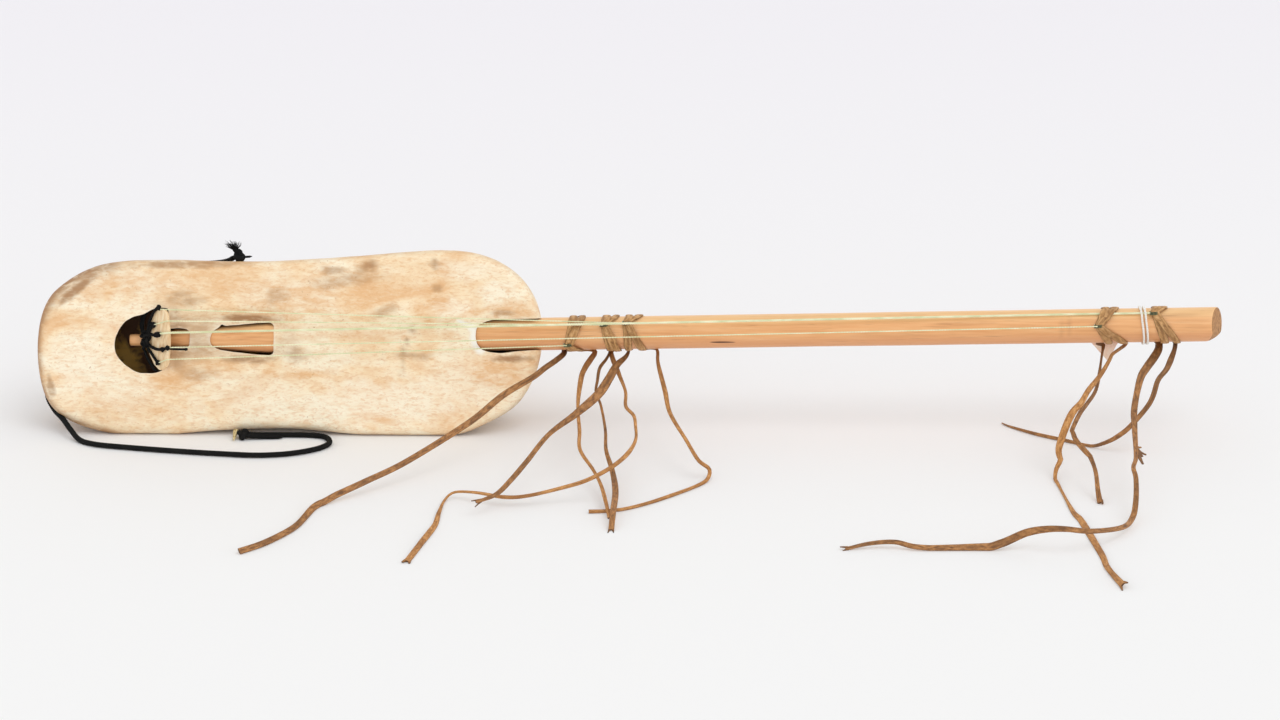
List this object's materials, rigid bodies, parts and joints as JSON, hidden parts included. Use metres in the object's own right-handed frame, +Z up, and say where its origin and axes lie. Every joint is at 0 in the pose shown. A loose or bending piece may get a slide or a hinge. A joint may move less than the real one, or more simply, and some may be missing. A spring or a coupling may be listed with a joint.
{
  "type": "ngoni",
  "caption": "Small West African spike lute: carved wooden trough under a hide head, round stick neck, fan bridge, nylon strings and leather tuning rings with long free ends",
  "frame": {"origin": "on the floor, under the middle of the instrument's box without its loose laces and cord", "axes": "+X along the neck from the body to the neck's end, +Z up, -Y is the way the face looks"},
  "size_m": [0.8932, 0.3681, 0.1358],
  "materials": {
    "hull_wood": "carved dark brown wood, matt",
    "cream_hide": "cream raw hide with brown stains, satin",
    "neck_wood": "orange brown wood, worn smooth",
    "pale_fan": "pale dry wood, matt",
    "black_cord": "twisted black cord, matt",
    "pale_nylon": "pale yellow green nylon line",
    "brown_leather": "brown leather thong, matt",
    "white_thread": "white thread, matt",
    "pinkish_hide": "pinkish scrap of hide, matt",
    "yellowish_wood": "yellowish wood, matt"
  },
  "bodies": {
    "body": {"hull": "hull_wood", "hide": "cream_hide", "neck": "neck_wood", "fan_bridge": "pale_fan", "anchor_lashing": "black_cord", "nut_binding": "white_thread", "carrying_cord": "black_cord", "lower_cord_knot": "black_cord", "upper_cord_knot": "black_cord", "cord_peg": "yellowish_wood", "anchor_cord_1": "black_cord", "string_1": "pale_nylon", "anchor_cord_2": "black_cord", "string_2": "pale_nylon", "anchor_cord_3": "black_cord", "string_3": "pale_nylon", "anchor_cord_4": "black_cord", "string_4": "pale_nylon", "anchor_cord_5": "black_cord", "string_5": "pale_nylon", "hide_peg_1": "yellowish_wood", "hide_peg_2": "yellowish_wood", "hide_peg_3": "yellowish_wood", "hide_peg_4": "yellowish_wood", "hide_peg_5": "yellowish_wood", "hide_peg_6": "yellowish_wood", "hide_peg_7": "yellowish_wood", "hide_peg_8": "yellowish_wood"},
    "ring_1": {"tuning_lace_1": "brown_leather", "lace_1_a": "brown_leather", "lace_1_b": "brown_leather"},
    "ring_2": {"tuning_lace_2": "brown_leather", "lace_2_a": "brown_leather", "lace_2_b": "brown_leather"},
    "ring_3": {"tuning_lace_3": "brown_leather", "lace_3_a": "brown_leather", "lace_3_b": "brown_leather"},
    "ring_4": {"tuning_lace_4": "brown_leather", "lace_4_a": "brown_leather", "lace_4_b": "brown_leather", "hide_flap": "pinkish_hide"},
    "ring_5": {"tuning_lace_5": "brown_leather", "lace_5_a": "brown_leather", "lace_5_b": "brown_leather"}
  },
  "joints": [
    {"name": "ring_1_tuning_slide", "type": "slide", "parent": "body", "child": "ring_1", "axis": [0.9998, -0.0031, 0.022], "range_m": [-0.012, 0.004], "deforming": ["string_5"]},
    {"name": "ring_2_tuning_slide", "type": "slide", "parent": "body", "child": "ring_2", "axis": [0.9998, -0.0031, 0.022], "range_m": [-0.005, 0], "deforming": ["string_2"]},
    {"name": "ring_3_tuning_slide", "type": "slide", "parent": "body", "child": "ring_3", "axis": [0.9998, -0.0031, 0.022], "range_m": [0, 0.008], "deforming": ["string_1"]},
    {"name": "ring_4_tuning_slide", "type": "slide", "parent": "body", "child": "ring_4", "axis": [0.9998, -0.0031, 0.022], "range_m": [-0.012, 0.005], "deforming": ["string_4"]},
    {"name": "ring_5_tuning_slide", "type": "slide", "parent": "body", "child": "ring_5", "axis": [0.9998, -0.0031, 0.022], "range_m": [-0.002, 0.01], "deforming": ["string_3"]}
  ]
}
